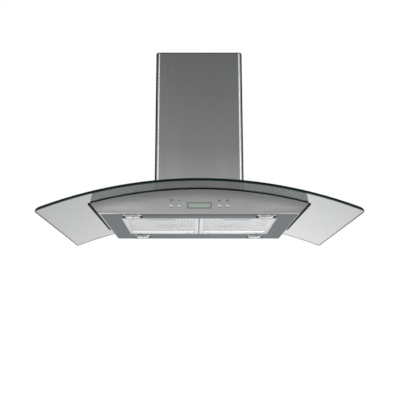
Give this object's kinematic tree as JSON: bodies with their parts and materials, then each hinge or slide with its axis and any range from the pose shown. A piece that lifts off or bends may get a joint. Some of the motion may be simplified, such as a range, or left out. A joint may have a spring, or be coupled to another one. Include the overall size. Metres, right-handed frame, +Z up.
{
  "type": "curved glass range hood",
  "caption": "Ceiling-hung cooker hood with an arched glass canopy, shallow steel casing, push-button panel, mesh filters, spot lamps and square telescopic chimney.",
  "frame": {"origin": "the middle of the ceiling bracket's top face, which meets the ceiling", "axes": "+Z up into the ceiling, +X to the right as seen from the control panel, +Y to the back, away from the control panel; the controls face -Y"},
  "size_m": [0.9, 0.6, 0.5511],
  "materials": {
    "canopy_glass": "polished smoke-grey toughened glass, green at the ground edges",
    "brushed_steel": "stainless steel, fine brushed grain",
    "plated_steel": "galvanised sheet, dull and faintly spangled",
    "seal_rubber": "matt black extruded rubber",
    "filter_aluminium": "mill finish, lightly satin",
    "lamp_chrome": "bright plated ring",
    "lamp_glass": "clear lens, faintly frosted",
    "lamp_reflector": "bright faceted reflector",
    "bulb_glass": "clear capsule, lit",
    "button_steel": "satin plated caps",
    "display_frame": "grey moulded frame",
    "display_glass": "pale green liquid-crystal window",
    "board": "green lacquered circuit board",
    "screw_steel": "zinc plated",
    "fan_plastic": "black moulded plastic",
    "motor_steel": "grey lacquer on steel",
    "shaft_steel": "ground steel",
    "outlet_plastic": "dark grey moulded plastic",
    "white_plastic": "off-white moulded plastic"
  },
  "bodies": {
    "ceiling_mount": {"ceiling_bracket": "plated_steel", "upper_posts": "plated_steel", "chimney_upper_cover": "brushed_steel", "cover_hanger_screws": "screw_steel"},
    "hood": {"glass_canopy": "canopy_glass", "glass_gasket": "seal_rubber", "deck_seal": "seal_rubber", "clamp_gasket": "seal_rubber", "top_deck": "plated_steel", "fascia": "brushed_steel", "rear_wall": "brushed_steel", "side_wall_left": "brushed_steel", "side_wall_right": "brushed_steel", "underside_panel": "brushed_steel", "filter_hooks": "plated_steel", "lamp_reflectors": "lamp_reflector", "lamp_bulbs": "bulb_glass", "display_bezel": "display_frame", "display_window": "display_glass", "control_board": "board", "lower_frame_ring": "plated_steel", "lower_posts": "plated_steel", "chimney_lower_cover": "brushed_steel", "hood_screws": "screw_steel", "motor_box": "plated_steel", "outlet_plate": "plated_steel", "fan_scroll": "fan_plastic", "fan_motor": "motor_steel", "motor_bracket": "plated_steel", "run_capacitor": "white_plastic", "outlet_collar": "outlet_plastic", "flap_pins": "shaft_steel", "terminal_box": "white_plastic", "cable_gland": "outlet_plastic", "lamp_transformer": "outlet_plastic", "electronics_box": "white_plastic", "lamp_bezel_front_left": "lamp_chrome", "lamp_lens_front_left": "lamp_glass", "lamp_bezel_front_right": "lamp_chrome", "lamp_lens_front_right": "lamp_glass", "lamp_bezel_rear_left": "lamp_chrome", "lamp_lens_rear_left": "lamp_glass", "lamp_bezel_rear_right": "lamp_chrome", "lamp_lens_rear_right": "lamp_glass"},
    "filter_left": {"filter_frame_left": "filter_aluminium", "filter_mesh_left": "filter_aluminium"},
    "filter_right": {"filter_frame_right": "filter_aluminium", "filter_mesh_right": "filter_aluminium"},
    "latch_left": {"filter_latch_left": "filter_aluminium"},
    "latch_right": {"filter_latch_right": "filter_aluminium"},
    "fan": {"fan_wheel": "fan_plastic", "fan_shaft": "shaft_steel"},
    "flap_front": {"flap_front": "outlet_plastic"},
    "flap_rear": {"flap_rear": "outlet_plastic"},
    "button_light": {"button_light": "button_steel"},
    "button_minus": {"button_minus": "button_steel"},
    "button_plus": {"button_plus": "button_steel"},
    "button_power": {"button_power": "button_steel"}
  },
  "joints": [
    {"name": "height_adjust", "type": "slide", "parent": "ceiling_mount", "child": "hood", "axis": [0, 0, -1], "range_m": [0, 0.3]},
    {"name": "fan_spin", "type": "hinge", "parent": "hood", "child": "fan", "pos_m": [0, -0.012, -0.379], "axis": [1, 0, 0], "continuous": true},
    {"name": "flap_front_lift", "type": "hinge", "parent": "hood", "child": "flap_front", "pos_m": [0, -0.005, -0.264], "axis": [-1, 0, 0], "range_deg": [0, 75]},
    {"name": "flap_rear_lift", "type": "hinge", "parent": "hood", "child": "flap_rear", "pos_m": [0, 0.005, -0.264], "axis": [1, 0, 0], "range_deg": [0, 75]},
    {"name": "filter_left_swing", "type": "hinge", "parent": "hood", "child": "filter_left", "pos_m": [0, 0.1042, -0.535], "axis": [1, 0, 0], "range_deg": [0, 75]},
    {"name": "latch_left_pull", "type": "slide", "parent": "filter_left", "child": "latch_left", "axis": [0, 1, 0], "range_m": [0, 0.005], "stiffness_N_per_m": 400, "springref_m": -0.004},
    {"name": "filter_right_swing", "type": "hinge", "parent": "hood", "child": "filter_right", "pos_m": [0, 0.1042, -0.535], "axis": [1, 0, 0], "range_deg": [0, 75]},
    {"name": "latch_right_pull", "type": "slide", "parent": "filter_right", "child": "latch_right", "axis": [0, 1, 0], "range_m": [0, 0.005], "stiffness_N_per_m": 400, "springref_m": -0.004},
    {"name": "light_press", "type": "slide", "parent": "hood", "child": "button_light", "axis": [0, 1, 0], "range_m": [0, 0.0012], "stiffness_N_per_m": 800, "springref_m": -0.001},
    {"name": "minus_press", "type": "slide", "parent": "hood", "child": "button_minus", "axis": [0, 1, 0], "range_m": [0, 0.0012], "stiffness_N_per_m": 800, "springref_m": -0.001},
    {"name": "plus_press", "type": "slide", "parent": "hood", "child": "button_plus", "axis": [0, 1, 0], "range_m": [0, 0.0012], "stiffness_N_per_m": 800, "springref_m": -0.001},
    {"name": "power_press", "type": "slide", "parent": "hood", "child": "button_power", "axis": [0, 1, 0], "range_m": [0, 0.0012], "stiffness_N_per_m": 800, "springref_m": -0.001}
  ]
}
